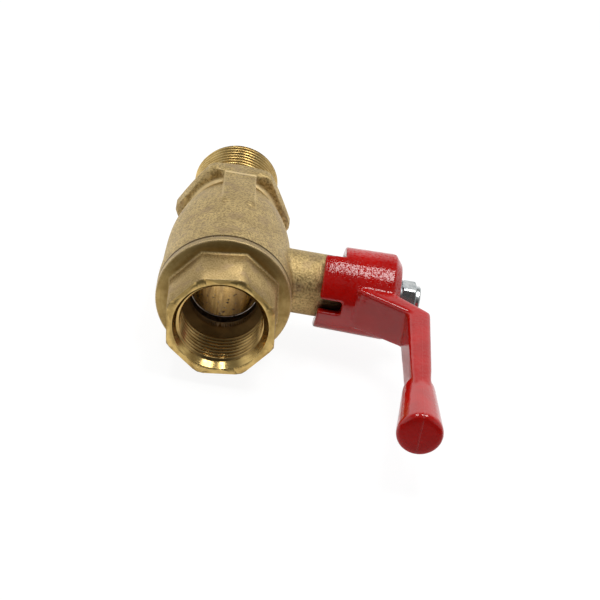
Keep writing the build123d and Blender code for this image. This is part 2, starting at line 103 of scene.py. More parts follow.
class Graph:
    """Node tree of one material or of the world, with short calls for the nodes used here."""

    def __init__(self, tree: bpy.types.NodeTree) -> None:
        """Empties the tree.

        Args:
            tree: node tree to fill.
        """
        tree.nodes.clear()
        self.tree = tree

    def put(self, socket: Socket, value: Any) -> None:
        """Links a socket to another, or sets its constant.

        Args:
            socket: input to feed.
            value: an output socket, a number, a vector or a colour.
        """
        if isinstance(value, bpy.types.NodeSocket):
            self.tree.links.new(value, socket)
        elif isinstance(value, tuple) and len(value) == 3 and socket.type == "RGBA":
            socket.default_value = (*value, 1.0)
        else:
            socket.default_value = value

    def add(self, kind: str, inputs: dict[Any, Any] | None = None, **settings: Any) -> bpy.types.Node:
        """Adds a node.

        Args:
            kind: Blender's node type without the ShaderNode prefix.
            inputs: values for the node's inputs, by name or index.
            settings: the node's own properties.

        Returns:
            The new node.
        """
        node = self.tree.nodes.new("ShaderNode" + kind)
        for key, value in settings.items():
            setattr(node, key, value)
        for key, value in (inputs or {}).items():
            self.put(node.inputs[key], value)
        return node

    def place(self) -> Socket:
        """Place on the piece, in metres, as it lies at rest."""
        return self.add("TexCoord").outputs["Object"]

    def split(self, vector: Socket) -> tuple[Socket, Socket, Socket]:
        """The three parts of a vector."""
        node = self.add("SeparateXYZ", {"Vector": vector})
        return node.outputs["X"], node.outputs["Y"], node.outputs["Z"]

    def join(self, x: Any, y: Any, z: Any) -> Socket:
        """A vector from three numbers."""
        return self.add("CombineXYZ", {"X": x, "Y": y, "Z": z}).outputs["Vector"]

    def stretch(self, vector: Socket, scale: tuple[float, float, float]) -> Socket:
        """A vector with each part scaled."""
        return self.add("VectorMath", {0: vector, 1: scale}, operation="MULTIPLY").outputs["Vector"]

    def calc(self, rule: str, first: Any, second: Any = 0.0) -> Socket:
        """One step of arithmetic."""
        return self.add("Math", {0: first, 1: second}, operation=rule).outputs["Value"]

    def product(self, first: Socket, *others: Socket) -> Socket:
        """Several values multiplied.

        Args:
            first: first value.
            others: the values that it is multiplied by.

        Returns:
            The product.
        """
        for other in others:
            first = self.calc("MULTIPLY", first, other)
        return first

    def noise(self, vector: Socket, size_mm: float, octaves: float, fineness: float) -> Socket:
        """Cloudy noise, around a half, with blobs of about the given size."""
        inputs = {"Vector": vector, "Scale": 1.0 / (size_mm * MM), "Detail": octaves, "Roughness": fineness}
        return self.add("TexNoise", inputs).outputs["Fac"]

    def ease(
        self, value: Any, low: float, high: float, to_low: float = 0.0, to_high: float = 1.0
    ) -> Socket:
        """Maps a range smoothly on to another and holds it at the ends.

        Args:
            value: what is mapped.
            low: start of the range.
            high: end of the range.
            to_low: result at the start.
            to_high: result at the end.

        Returns:
            The mapped value.
        """
        inputs = {"Value": value, "From Min": low, "From Max": high, "To Min": to_low, "To Max": to_high}
        return self.add("MapRange", inputs, interpolation_type="SMOOTHSTEP").outputs["Result"]

    def blend(self, share: Any, first: Any, second: Any) -> Socket:
        """Mixes two colours.

        Args:
            share: share of the second.
            first: colour at share 0.
            second: colour at share 1.

        Returns:
            The mixed colour.
        """
        node = self.add("Mix", data_type="RGBA")
        by_id = {socket.identifier: socket for socket in node.inputs}
        self.put(by_id["Factor_Float"], share)
        self.put(by_id["A_Color"], first)
        self.put(by_id["B_Color"], second)
        return next(socket for socket in node.outputs if socket.identifier == "Result_Color")

    def rough(self, noise: Socket, level: float, span: Span) -> Socket:
        """Roughness that wanders with a noise.

        Args:
            noise: the noise that it follows.
            level: roughness that the span is added to.
            span: what is added where the noise is low and where it is high.

        Returns:
            The roughness.
        """
        return self.ease(noise, *NOISE_SPAN, level + span[0], level + span[1])

    def soft_edges(self, radius_mm: float) -> Socket:
        """Normal rounded over edges by a small radius."""
        return self.add("Bevel", {"Radius": radius_mm * MM}, samples=EDGE_SAMPLES).outputs["Normal"]

    def edges(self, radius_mm: float) -> Socket:
        """Finds edges and roots.

        Args:
            radius_mm: how far from the edge it reaches, in millimetres.

        Returns:
            1 along edges and roots, 0 on open faces.
        """
        true = self.add("NewGeometry").outputs["Normal"]
        node = self.add("VectorMath", {0: self.soft_edges(radius_mm), 1: true}, operation="DOT_PRODUCT")
        return self.ease(node.outputs["Value"], *EDGE_SPAN)

    def hollow(self, reach_mm: float) -> Socket:
        """0 on open faces to 1 deep in corners, looking as far as the reach."""
        node = self.add("AmbientOcclusion", {"Distance": reach_mm * MM}, samples=EDGE_SAMPLES)
        return self.calc("SUBTRACT", 1.0, node.outputs["AO"])

    def seen(self) -> Socket:
        """1 for what the camera sees, straight or through clear matter, 0 for light that bounces."""
        path = self.add("LightPath").outputs
        return self.calc("MAXIMUM", path["Is Camera Ray"], path["Is Transmission Ray"])

    def mirrored(self) -> Socket:
        """1 for what a glossy face mirrors, else 0."""
        return self.add("LightPath").outputs["Is Glossy Ray"]

    def either(self, share: Socket, first: Socket, second: Socket) -> Socket:
        """Mixes two shaders, by the share of the second."""
        return self.add("MixShader", {0: share, 1: first, 2: second}).outputs["Shader"]

    def both(self, first: Socket, second: Socket) -> Socket:
        """Adds two shaders."""
        return self.add("AddShader", {0: first, 1: second}).outputs["Shader"]

    def diffuse(self, colour: Any) -> Socket:
        """A matt shader."""
        return self.add("BsdfDiffuse", {"Color": colour}).outputs["BSDF"]

    def glow(self, colour: Any, strength: float) -> Socket:
        """A shader that gives light."""
        return self.add("Emission", {"Color": colour, "Strength": strength}).outputs["Emission"]

    def bump(self, height: Socket, depth_mm: float, normal: Socket | None = None) -> Socket:
        """Fine relief.

        Args:
            height: relief from 0 to 1.
            depth_mm: depth of the relief in millimetres.
            normal: normal that it works on, or the mesh's own.

        Returns:
            The bent normal.
        """
        node = self.add("Bump", {"Height": height, "Distance": depth_mm * MM, "Strength": 1.0})
        if normal is not None:
            self.put(node.inputs["Normal"], normal)
        return node.outputs["Normal"]


@dataclass(frozen=True)
class Ramp:
    """A soft change along one direction; millimetres."""

    start: float
    end: float
    at_start: float = 0.0
    at_end: float = 1.0

    def mask(self, graph: Graph, along: Socket) -> Socket:
        """Value of the change at a place along the direction."""
        return graph.ease(along, self.start * MM, self.end * MM, self.at_start, self.at_end)


@dataclass(frozen=True)
class Stripe:
    """A soft-edged stripe across one direction; millimetres."""

    centre: float
    outer: float
    inner: float
    share: float = 1.0

    def mask(self, graph: Graph, along: Socket) -> Socket:
        """Full within the inner half width, nothing beyond the outer one."""
        away = graph.calc("ABSOLUTE", graph.calc("SUBTRACT", along, self.centre * MM))
        return graph.ease(away, self.outer * MM, self.inner * MM, 0.0, self.share)


@dataclass(frozen=True)
class Mottle:
    """Cloudy noise: size of a blob, octaves, strength of the fine ones, and where patches begin and end."""

    size_mm: float
    octaves: float = 2.0
    fineness: float = 0.5
    span: Span = NOISE_SPAN
    share: float = 1.0

    def noise(self, graph: Graph, place: Socket) -> Socket:
        """The bare noise at a place, around a half."""
        return graph.noise(place, self.size_mm, self.octaves, self.fineness)

    def patches(self, graph: Graph, noise: Socket) -> Socket:
        """The share of the patches that the noise makes."""
        return graph.ease(noise, *self.span, 0.0, self.share)

    def spread(self, graph: Graph, place: Socket) -> Socket:
        """The share of the patches at a place."""
        return self.patches(graph, self.noise(graph, place))


@dataclass(frozen=True)
class Finish:
    """A surface finish; each kind fills its own node tree."""

    name: str

    def material(self) -> bpy.types.Material:
        """Makes the finish's material, once.

        Returns:
            The material, which every piece in this finish shares.
        """
        made = bpy.data.materials.get(self.name)
        if made is None:
            made = bpy.data.materials.new(self.name)
            made.use_nodes = True
            graph = Graph(made.node_tree)
            shader = graph.add("BsdfPrincipled")
            output = graph.add("OutputMaterial")
            graph.put(output.inputs["Surface"], shader.outputs["BSDF"])
            self.fill(graph, shader.inputs)
        return made

    def fill(self, graph: Graph, inputs: Any) -> None:
        """Feeds the shader's inputs.

        Args:
            graph: node tree to work in.
            inputs: the shader's inputs.
        """
        raise NotImplementedError


@dataclass(frozen=True)
class ForgedBrass(Finish):
    """Blasted skin of a hot forging: pale olive gold, fine grained, lighter on edges that are rubbed and
    carry a painted highlight, with painted highlights in roots and painted shade on the boss under the
    lever hub.
    """

    light: Tone = (0.68, 0.52, 0.245)
    dark: Tone = (0.30, 0.205, 0.08)
    # Light tone of rubbed edges, also used for painted highlights on edges, in roots, along the collar root
    # and along the rib.
    wear_and_highlight: Tone = (0.90, 0.72, 0.40)
    # Dark brown of stains and of the seam, also painted shade on the boss under the lever hub.
    soil_and_shade: Tone = (0.07, 0.045, 0.02)
    tarnish: Tone = (0.36, 0.25, 0.155)
    rough: float = 0.56
    rough_span: Span = (-0.05, 0.08)
    grain: Mottle = Mottle(0.8, 3.0, 0.6, (0.58, 0.38), 0.85)
    grain_depth_mm: float = 0.20
    cloud: Mottle = Mottle(9.0, 3.0, 0.6, (0.35, 0.70), 0.35)
    patch: Mottle = Mottle(6.5, 2.0, 0.5, (0.50, 0.66), 0.40)
    stain: Mottle = Mottle(1.9, 4.0, 0.65, (0.58, 0.72), 0.35)
    dent: Mottle = Mottle(2.2)
    dent_depth_mm: float = 0.12
    edge_mm: float = 0.8
    # Edges lighten in patches: rubbed brass and a painted highlight, on concave edges too.
    edge_wear_and_highlight_mm: float = 0.8
    edge_wear_and_highlight_span: Span = (0.3, 0.6)
    edge_wear_and_highlight_least: float = 0.6
    # Roots and inside corners lighten: a painted highlight that stands in for fillets catching the lamps.
    root_highlight_mm: float = 3.0
    root_highlight_span: Span = (0.28, 0.50)
    root_highlight_share: float = 0.2
    # Light stripe along the collar's root: a painted highlight of its fillet.
    collar_root_highlight: Stripe = Stripe(85.1, 0.9, 0.35, 0.85)
    # Light stripes along the rib's edges: rubbed brass and a painted highlight.
    rib_edge_wear_and_highlight: Stripe = Stripe(6.2, 0.55, 0.15, 0.4)
    rib_front: Ramp = Ramp(56.0, 61.0)
    rib_end: Ramp = Ramp(85.5, 84.0)
    # The boss darkens where the lever hub covers it: painted shade.
    hub_shade: Ramp = Ramp(35.5, 37.5, 0.0, 0.9)
    seam: Stripe = Stripe(23.3, 0.9, 0.45, 0.92)
    parting: Stripe | None = Stripe(0.0, 0.32, 0.0)
    parting_depth_mm: float = 0.12

    def skin(self, graph: Graph, place: Socket, grain: Socket) -> Socket:
        """Colour of the open skin, of its edges, lighter where rubbed and for a painted highlight, and of
        its roots, lighter for a painted highlight.

        Args:
            graph: node tree to work in.
            place: place on the piece.
            grain: noise of the blasted grain.

        Returns:
            The colour.
        """
        cloud = self.cloud.noise(graph, place)
        tone = graph.blend(self.cloud.patches(graph, cloud), self.light, self.dark)
        tone = graph.blend(self.grain.patches(graph, grain), tone, self.dark)
        tone = graph.blend(self.patch.spread(graph, place), tone, self.tarnish)
        tone = graph.blend(self.stain.spread(graph, place), tone, self.soil_and_shade)
        # Edges lighten in patches: partly rubbed brass, partly a painted highlight, since concave edges
        # lighten too.
        edge_wear_and_highlight = graph.ease(cloud, *self.edge_wear_and_highlight_span, self.edge_wear_and_highlight_least, 1.0)
        tone = graph.blend(graph.product(graph.edges(self.edge_wear_and_highlight_mm), edge_wear_and_highlight), tone, self.wear_and_highlight)
        # Painted highlight in roots and inside corners.
        root = graph.ease(graph.hollow(self.root_highlight_mm), *self.root_highlight_span, 0.0, self.root_highlight_share)
        return graph.blend(root, tone, self.wear_and_highlight)

    def marks(self, graph: Graph, place: Socket, tone: Socket) -> Socket:
        """Adds a painted highlight along the collar root, rubbed brass and a painted highlight along the
        rib edges, painted shade on the boss under the lever hub and the dark seam.

        Args:
            graph: node tree to work in.
            place: place on the piece.
            tone: colour of the skin.

        Returns:
            The colour with its marks.
        """
        x, y, _ = graph.split(place)
        # The rib's edges lighten: rubbed brass and a painted highlight.
        edge = self.rib_edge_wear_and_highlight.mask(graph, graph.calc("ABSOLUTE", x))
        rib_wear_and_highlight = graph.product(edge, self.rib_front.mask(graph, y), self.rib_end.mask(graph, y))
        # Painted highlight along the collar's root.
        tone = graph.blend(self.collar_root_highlight.mask(graph, y), tone, self.wear_and_highlight)
        tone = graph.blend(rib_wear_and_highlight, tone, self.wear_and_highlight)
        # Painted shade on the boss under the lever hub.
        tone = graph.blend(self.hub_shade.mask(graph, x), tone, self.soil_and_shade)
        return graph.blend(self.seam.mask(graph, y), tone, self.soil_and_shade)

    def fill(self, graph: Graph, inputs: Any) -> None:
        """Feeds colour, roughness and relief of the forged skin.

        Args:
            graph: node tree to work in.
            inputs: the shader's inputs.
        """
        place = graph.place()
        grain = self.grain.noise(graph, place)
        tone = self.marks(graph, place, self.skin(graph, place, grain))
        graph.put(inputs["Base Color"], tone)
        graph.put(inputs["Roughness"], graph.rough(grain, self.rough, self.rough_span))
        inputs["Metallic"].default_value = 1.0
        normal = graph.soft_edges(self.edge_mm)
        if self.parting is not None:
            line = self.parting.mask(graph, graph.split(place)[2])
            normal = graph.bump(line, self.parting_depth_mm, normal)
        normal = graph.bump(self.dent.noise(graph, place), self.dent_depth_mm, normal)
        graph.put(inputs["Normal"], graph.bump(grain, self.grain_depth_mm, normal))


@dataclass(frozen=True)
class TurnedBrass(Finish):
    """Brass as the lathe leaves it: brighter, with fine rings round the pipe axis; in a bore it can darken
    with depth as painted shade, and grow rougher.
    """

    light: Tone = (0.78, 0.555, 0.205)
    dark: Tone = (0.52, 0.34, 0.11)
    # Dark brown for painted shade deep in a bore.
    soil_and_shade: Tone = (0.30, 0.18, 0.065)
    rough: float = 0.17
    rough_span: Span = (-0.05, 0.10)
    ring: Mottle = Mottle(0.22, 2.0, 0.6, (0.6, 0.35), 0.35)
    ring_depth_mm: float = 0.012
    cloud: Mottle = Mottle(5.0, 3.0, 0.6, (0.35, 0.75))
    edge_mm: float = 0.12
    # Darkening with depth along the pipe: painted shade in a bore; roughness rises with it.
    deep_shade: Ramp | None = None
    deep_shade_rough: float = 0.5

    def fill(self, graph: Graph, inputs: Any) -> None:
        """Feeds colour, roughness and tool marks of the turned brass.

        Args:
            graph: node tree to work in.
            inputs: the shader's inputs.
        """
        place = graph.place()
        x, y, z = graph.split(place)
        squares = graph.calc("ADD", graph.calc("MULTIPLY", x, x), graph.calc("MULTIPLY", z, z))
        ring = self.ring.noise(graph, graph.join(graph.calc("SQRT", squares), y, 0.0))
        cloud = self.cloud.noise(graph, place)
        tone = graph.blend(self.cloud.patches(graph, cloud), self.light, self.dark)
        tone = graph.blend(self.ring.patches(graph, ring), tone, self.dark)
        rough = graph.rough(cloud, self.rough, self.rough_span)
        # Deeper in a bore the colour darkens: painted shade in the recess.
        if self.deep_shade is not None:
            depth = self.deep_shade.mask(graph, y)
            tone = graph.blend(depth, tone, self.soil_and_shade)
            rough = graph.calc("ADD", rough, graph.calc("MULTIPLY", depth, self.deep_shade_rough))
        graph.put(inputs["Base Color"], tone)
        graph.put(inputs["Roughness"], rough)
        inputs["Metallic"].default_value = 1.0
        graph.put(inputs["Normal"], graph.bump(ring, self.ring_depth_mm, graph.soft_edges(self.edge_mm)))


@dataclass(frozen=True)
class ChromedBrass(Finish):
    """Polished chrome with streaks along the bore, tinted warm as a painted reflection of the brass round
    it, and dark specks of dirt.
    """

    bright: Tone = (0.95, 0.88, 0.82)
    # Warm tone of the streaks: partly polish marks, partly a painted reflection of the brass.
    film_and_brass_reflection: Tone = (0.64, 0.54, 0.44)
    speck: Tone = (0.03, 0.02, 0.015)
    streak: Mottle = Mottle(2.6, 3.0, 0.6, (0.42, 0.68))
    streak_stretch: tuple[float, float, float] = (1.0, 0.10, 1.0)
    streak_depth_mm: float = 0.004
    dirt: Mottle = Mottle(1.6, 2.0, 0.4, (0.655, 0.685))
    dirt_rough: float = 0.8
    film_span: Span = (0.35, 0.70)
    film_rough: Span = (0.10, 0.26)

    def fill(self, graph: Graph, inputs: Any) -> None:
        """Feeds colour, streaks, specks and roughness of the chrome.

        Args:
            graph: node tree to work in.
            inputs: the shader's inputs.
        """
        place = graph.place()
        streak = self.streak.noise(graph, graph.stretch(place, self.streak_stretch))
        specks = self.dirt.spread(graph, place)
        tone = graph.blend(self.streak.patches(graph, streak), self.bright, self.film_and_brass_reflection)
        graph.put(inputs["Base Color"], graph.blend(specks, tone, self.speck))
        rough = graph.ease(streak, *self.film_span, *self.film_rough)
        dull = graph.calc("MULTIPLY", specks, self.dirt_rough)
        graph.put(inputs["Roughness"], graph.calc("MAXIMUM", rough, dull))
        graph.put(inputs["Metallic"], graph.ease(specks, 0.0, 1.0, 1.0, 0.0))
        graph.put(inputs["Normal"], graph.bump(streak, self.streak_depth_mm))


@dataclass(frozen=True)
class LeverPaint(Finish):
    """Thick gloss red over a casting: orange peel, wormy gloss on the hub and a faint parting line."""

    red: Tone = (0.48, 0.004, 0.002)
    deep: Tone = (0.40, 0.003, 0.0015)
    cloud: Mottle = Mottle(9.0, 2.0, 0.5, (0.3, 0.75))
    peel: Mottle = Mottle(1.25)
    peel_depth_mm: float = 0.07
    rough: float = 0.06
    rough_span: Span = (0.0, 0.04)
    worm: Mottle = Mottle(1.35, 1.0, 0.4, (0.058, 0.034))
    worm_middle: float = 0.5
    worm_depth_mm: float = 0.010
    hub_y: Ramp = Ramp(25.0, 28.0)
    hub_z: Ramp = Ramp(3.0, 6.0)
    gloss: Span = (0.06, 0.56)
    index: float = 1.52
    parting: Stripe = Stripe(72.7, 0.35, 0.0)
    parting_end: Ramp = Ramp(-49.0, -51.0, 0.22, 1.0)
    parting_root: Ramp = Ramp(20.0, 14.0)
    parting_depth_mm: float = 0.16

    def fill(self, graph: Graph, inputs: Any) -> None:
        """Feeds colour, gloss and relief of the paint.

        Args:
            graph: node tree to work in.
            inputs: the shader's inputs.
        """
        place = graph.place()
        x, y, z = graph.split(place)
        peel = self.peel.noise(graph, place)
        graph.put(inputs["Base Color"], graph.blend(self.cloud.spread(graph, place), self.red, self.deep))
        vein = graph.calc("SUBTRACT", self.worm.noise(graph, place), self.worm_middle)
        worm = self.worm.patches(graph, graph.calc("ABSOLUTE", vein))
        worm = graph.product(self.hub_y.mask(graph, y), self.hub_z.mask(graph, z), worm)
        gloss = graph.calc("SUBTRACT", 1.0, worm)
        graph.put(inputs["Specular IOR Level"], graph.ease(gloss, 0.0, 1.0, *self.gloss))
        graph.put(inputs["Roughness"], graph.rough(peel, self.rough, self.rough_span))
        inputs["IOR"].default_value = self.index
        line = graph.product(
            self.parting.mask(graph, x), self.parting_end.mask(graph, y), self.parting_root.mask(graph, y)
        )
        normal = graph.bump(line, self.parting_depth_mm)
        normal = graph.bump(gloss, self.worm_depth_mm, normal)
        graph.put(inputs["Normal"], graph.bump(peel, self.peel_depth_mm, normal))


@dataclass(frozen=True)
class ZincPlate(Finish):
    """Bright zinc on steel, with a mottled bluish sheen."""

    pale: Tone = (0.62, 0.64, 0.63)
    blue: Tone = (0.44, 0.48, 0.49)
    rough: float = 0.20
    rough_span: Span = (-0.05, 0.12)
    cloud: Mottle = Mottle(1.8, 3.0, 0.6, (0.35, 0.7))
    fine: Mottle = Mottle(0.3)
    fine_depth_mm: float = 0.006
    edge_mm: float = 0.22

    def fill(self, graph: Graph, inputs: Any) -> None:
        """Feeds colour, roughness and fine relief of the plating.

        Args:
            graph: node tree to work in.
            inputs: the shader's inputs.
        """
        place = graph.place()
        cloud = self.cloud.noise(graph, place)
        graph.put(inputs["Base Color"], graph.blend(self.cloud.patches(graph, cloud), self.pale, self.blue))
        graph.put(inputs["Roughness"], graph.rough(cloud, self.rough, self.rough_span))
        inputs["Metallic"].default_value = 1.0
        fine = self.fine.noise(graph, place)
        graph.put(inputs["Normal"], graph.bump(fine, self.fine_depth_mm, graph.soft_edges(self.edge_mm)))


@dataclass(frozen=True)
class SoftSeal(Finish):
    """Seat plastic or rubber with a layer of dirt; the default tones, which the seats use, are a dark brown
    that is painted shade deep in the bore.
    """

    # The defaults belong to the seats: a dark brown that is painted shade where they sit deep in the bore.
    main_tone: Tone = (0.13, 0.082, 0.040)
    dirty: Tone = (0.045, 0.028, 0.014)
    dirt: Mottle = Mottle(2.2, 4.0, 0.65, (0.36, 0.66))
    rough: float = 0.6
    rough_span: Span = (0.0, 0.25)
    gloss: float = 0.12
    fine: Mottle = Mottle(0.5)
    fine_depth_mm: float = 0.01

    def fill(self, graph: Graph, inputs: Any) -> None:
        """Feeds colour, roughness and fine relief of the seal.

        Args:
            graph: node tree to work in.
            inputs: the shader's inputs.
        """
        place = graph.place()
        dirt = self.dirt.noise(graph, place)
        graph.put(inputs["Base Color"], graph.blend(self.dirt.patches(graph, dirt), self.main_tone, self.dirty))
        graph.put(inputs["Roughness"], graph.rough(dirt, self.rough, self.rough_span))
        inputs["Specular IOR Level"].default_value = self.gloss
        graph.put(inputs["Normal"], graph.bump(self.fine.noise(graph, place), self.fine_depth_mm))


FORGED = ForgedBrass("forged_skin")
MILLED = ForgedBrass(
    "milled_skin",
    light=(0.54, 0.40, 0.19),
    rough=0.50,
    grain=replace(ForgedBrass.grain, size_mm=0.6),
    grain_depth_mm=0.09,
    edge_mm=0.4,
    parting=None,
)
TURNED = TurnedBrass("lathe_turned")
MOUTH = TurnedBrass("faced_mouth", rough=0.32)
THREADED = TurnedBrass("cut_thread", rough=0.26)
# The flange face behind the octagon gets a darker copy of the turned brass: painted shade between the
# octagon and the flange rim.
SHADED_FLANGE_FACE = TurnedBrass(
    "faced_flange_painted_shade", light=(0.46, 0.325, 0.125), dark=(0.33, 0.22, 0.075), rough=0.42
)
# The tapped bore is a darker copy of the turned brass and darkens more from 14 to 24 mm deep: painted shade
# in the recess.
BORE = TurnedBrass(
    "tapped_bore",
    light=(0.72, 0.49, 0.19),
    dark=(0.48, 0.30, 0.10),
    deep_shade=Ramp(14.0, 24.0, 0.0, 0.85),
)
CHROME = ChromedBrass("polished_ball")
PAINT = LeverPaint("thick_red_paint")
ZINC = ZincPlate("zinc_plating")
WASHER_STEEL = ZincPlate("dull_washer", pale=(0.30, 0.31, 0.31), blue=(0.16, 0.17, 0.18), rough=0.34)
# Seat rings in dark brown: painted shade deep in the bore.
SEAT = SoftSeal("seat_in_painted_shade")
RUBBER = SoftSeal("black_rubber", main_tone=(0.035, 0.035, 0.037), dirty=(0.012, 0.012, 0.012))
NYLON = SoftSeal("pale_nylon", main_tone=(0.55, 0.58, 0.56), dirty=(0.30, 0.31, 0.30))


class Workshop:
    """Small jobs on meshes that every sub-assembly shares."""

    # Corners closer than this are one, in metres.
    WELD = 2e-6
    # Edges sharper than this stay sharp, in degrees.
    SHARP = 32.0

    @staticmethod
    def new_piece(name: str, mesh: bpy.types.Mesh) -> bpy.types.Object:
        """Puts a mesh into the scene as an object.

        Args:
            name: the object's name.
            mesh: its mesh.

        Returns:
            The new object.
        """
        piece = bpy.data.objects.new(name, mesh)
        bpy.context.scene.collection.objects.link(piece)
        return piece

    @staticmethod
    def copy_of(node: str, name: str) -> bpy.types.Object:
        """A closed working copy of a CAD node's mesh.

        Args:
            node: the CAD node.
            name: name of the copy.

        Returns:
            The copy, with its split corners welded.
        """
        work = bmesh.new()
        work.from_mesh(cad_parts[node].data)
        bmesh.ops.remove_doubles(work, verts=work.verts, dist=Workshop.WELD)
        mesh = bpy.data.meshes.new(name)
        work.to_mesh(mesh)
        work.free()
        mesh.materials.clear()
        return Workshop.new_piece(name, mesh)

    @staticmethod
    def settle(piece: bpy.types.Object) -> None:
        """Makes a piece's modifiers part of its mesh.

        Args:
            piece: what is settled.
        """
        graph = bpy.context.evaluated_depsgraph_get()
        mesh = bpy.data.meshes.new_from_object(piece.evaluated_get(graph))
        piece.modifiers.clear()
        old = piece.data
        piece.data = mesh
        bpy.data.meshes.remove(old)

    @staticmethod
    def cut(piece: bpy.types.Object, tool: bpy.types.Object) -> None:
        """Cuts a piece with a closed tool, which is used up.

        Args:
            piece: what is cut.
            tool: the space to take away.
        """
        step = piece.modifiers.new("cut", "BOOLEAN")
        step.operation = "DIFFERENCE"
        step.solver = "EXACT"
        step.object = tool
        Workshop.settle(piece)
        mesh = tool.data
        bpy.data.objects.remove(tool)
        bpy.data.meshes.remove(mesh)

    @staticmethod
    def smooth(piece: bpy.types.Object, angle: float = SHARP) -> None:
        """Shades a piece smooth, with edges sharper than an angle kept.

        Args:
            piece: what is shaded.
            angle: in degrees.
        """
        piece.data.shade_smooth()
        piece.data.set_sharp_from_angle(angle=math.radians(angle))

    @staticmethod
    def dress(
        piece: bpy.types.Object, finishes: list[Finish], pick: Callable[[Vector, Vector], int]
    ) -> None:
        """Gives each face of a piece one of several finishes.

        Args:
            piece: what is dressed.
            finishes: the finishes, in order.
            pick: index of the finish from a face's centre in millimetres and its normal.
        """
        piece.data.materials.clear()
        for finish in finishes:
            piece.data.materials.append(finish.material())
        for face in piece.data.polygons:
            face.material_index = pick(face.center / MM, face.normal)

    @staticmethod
    def stand_for(piece: bpy.types.Object, node: str, body: Body, slot: Slot) -> None:
        """Puts a dressed piece in the place of a CAD node.

        Args:
            piece: the new piece.
            node: CAD node that it stands for.
            body: body that it rides on.
            slot: the record's slot for its finish; not used.
        """
        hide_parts(node)
        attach(piece, body.value)
        LOG.info("%s: %d faces, stands for %s", piece.name, len(piece.data.polygons), node)

    @staticmethod
    def finish_node(node: str, finish: Finish) -> None:
        """Gives a CAD node that stays its finish.

        Args:
            node: the CAD node.
            finish: its finish.
        """
        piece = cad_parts[node]
        piece.data.materials.clear()
        piece.data.materials.append(finish.material())
        LOG.info("%s: kept, in %s", node, finish.name)


@dataclass
class PipeThread:
    """Parallel pipe thread round the pipe axis, with rounded crests and roots; millimetres."""

    major_r: float = 16.59
    minor_r: float = 15.19
    pitch: float = 2.309
    flank_share: float = 0.315
    straight_share: float = 0.8
    sink_slope: float = 0.72
    around: int = 144
    steps: int = 15

    def height(self, turn: np.ndarray, y: np.ndarray) -> np.ndarray:
        """Height of the thread form.

        Args:
            turn: share of a full turn.
            y: place along the pipe.

        Returns:
            0 at the root to 1 at the crest.
        """
        phase = np.mod(y / self.pitch - turn, 1.0)
        from_root = 0.5 - np.abs(phase - 0.5)
        flank = np.clip((from_root - 0.25) / self.flank_share + 0.5, 0.0, 1.0)
        rounded = 0.5 - 0.5 * np.cos(np.pi * flank)
        return self.straight_share * flank + (1.0 - self.straight_share) * rounded

    def grid(self, low: float, high: float) -> tuple[np.ndarray, np.ndarray]:
        """Turn and place of a lattice over the thread.

        Args:
            low: first place along the pipe.
            high: last place.

        Returns:
            Two arrays of one shape: turn, and place along the pipe.
        """
        rows = int((high - low) / self.pitch * self.steps)
        y = np.linspace(low, high, rows + 1)
        turn = np.arange(self.around) / self.around
        return np.meshgrid(turn, y)

    @staticmethod
    def points(radius: np.ndarray, turn: np.ndarray, y: np.ndarray) -> np.ndarray:
        """Points of a lattice in metres, row by row.

        Args:
            radius: distance from the pipe axis.
            turn: share of a full turn.
            y: place along the pipe.

        Returns:
            An array of points.
        """
        angle = 2.0 * math.pi * turn
        return np.stack([radius * np.cos(angle), y, radius * np.sin(angle)], axis=-1).reshape(-1, 3) * MM

    @staticmethod
    def solid(name: str, points: np.ndarray, faces: list[tuple[int, ...]]) -> bpy.types.Object:
        """A closed tool from points and faces, with its normals outwards.

        Args:
            name: name of the tool.
            points: its points in metres.
            faces: its faces.

        Returns:
            The tool.
        """
        mesh = bpy.data.meshes.new(name)
        mesh.from_pydata(points.tolist(), [], faces)
        work = bmesh.new()
        work.from_mesh(mesh)
        bmesh.ops.recalc_face_normals(work, faces=work.faces)
        work.to_mesh(mesh)
        work.free()
        return Workshop.new_piece(name, mesh)

    def sheet(self, rows: int, first: int = 0) -> list[tuple[int, ...]]:
        """Faces of a lattice that closes on itself round the axis.

        Args:
            rows: number of rings.
            first: index of its first point.

        Returns:
            The faces.
        """
        faces = []
        for row in range(rows - 1):
            for col in range(self.around):
                here = first + row * self.around + col
                there = first + row * self.around + (col + 1) % self.around
                faces.append((here, there, there + self.around, here + self.around))
        return faces

    def tap(self, low: float, high: float, mouth_r: float) -> bpy.types.Object:
        """Tool that cuts a threaded hole with a countersunk mouth at place 0.

        Args:
            low: first place along the pipe.
            high: last place.
            mouth_r: radius of the countersink at place 0.

        Returns:
            The tool.
        """
        turn, y = self.grid(low, high)
        radius = self.minor_r + (self.major_r - self.minor_r) * self.height(turn, y)
        radius = np.maximum(radius, mouth_r - self.sink_slope * y)
        rows = len(y)
        faces = self.sheet(rows)
        faces.append(tuple(range(self.around)))
        faces.append(tuple(range((rows - 1) * self.around, rows * self.around)))
        return self.solid("tap", self.points(radius, turn, y), faces)

    def die(self, low: float, high: float, outer_r: float) -> bpy.types.Object:
        """Tool that cuts a thread on the outside of a pipe.

        Args:
            low: first place along the pipe.
            high: last place.
            outer_r: outer radius of the tool.

        Returns:
            The tool.
        """
        turn, y = self.grid(low, high)
        radius = self.minor_r + (self.major_r - self.minor_r) * self.height(turn, y)
        rows = len(y)
        inner = self.points(radius, turn, y)
        outer = self.points(np.full_like(turn, outer_r), turn, y)
        count = rows * self.around
        faces = self.sheet(rows) + self.sheet(rows, count)
        for col in range(self.around):
            after = (col + 1) % self.around
            for row in (0, rows - 1):
                base = row * self.around
                faces.append((base + col, base + after, count + base + after, count + base + col))
        return self.solid("die", np.concatenate([inner, outer]), faces)


